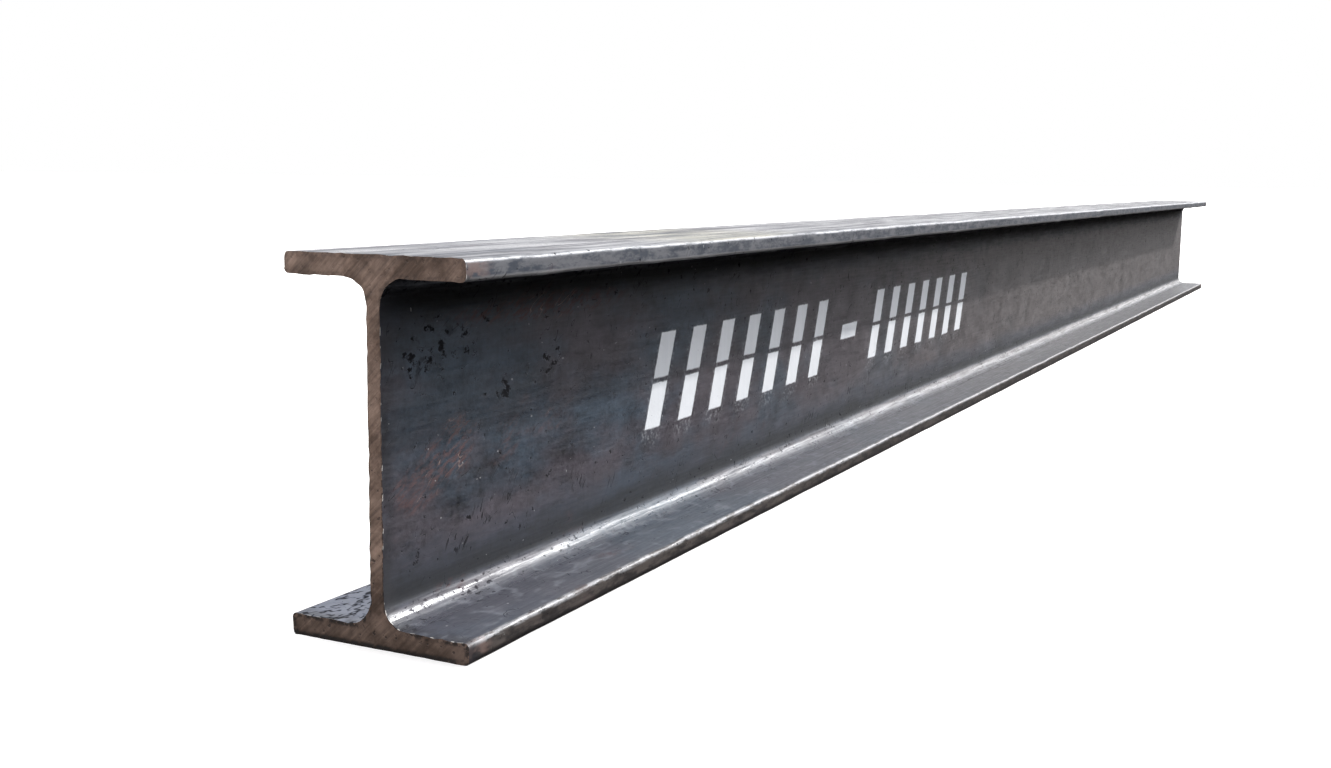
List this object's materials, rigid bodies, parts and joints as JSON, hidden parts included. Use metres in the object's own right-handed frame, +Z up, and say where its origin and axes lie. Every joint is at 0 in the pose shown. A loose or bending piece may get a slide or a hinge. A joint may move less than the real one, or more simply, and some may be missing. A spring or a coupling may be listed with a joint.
{
  "type": "steel i-beam",
  "caption": "Hot-rolled steel I-beam with parallel flanges, filleted roots and sawn ends, cut to length as building stock for lintels, frames and supports.",
  "frame": {"origin": "centre of the underside of the bottom flange, midway between the sawn ends", "axes": "+X along the beam's length, +Y across the flanges, +Z up from the bottom flange to the top flange"},
  "size_m": [1.5, 0.055, 0.1],
  "materials": {
    "mill_scale_steel": "dark blue-grey mill scale as rolled, with bare brown-grey saw cuts at both ends"
  },
  "bodies": {
    "root": {"i_beam": "mill_scale_steel"}
  },
  "joints": []
}
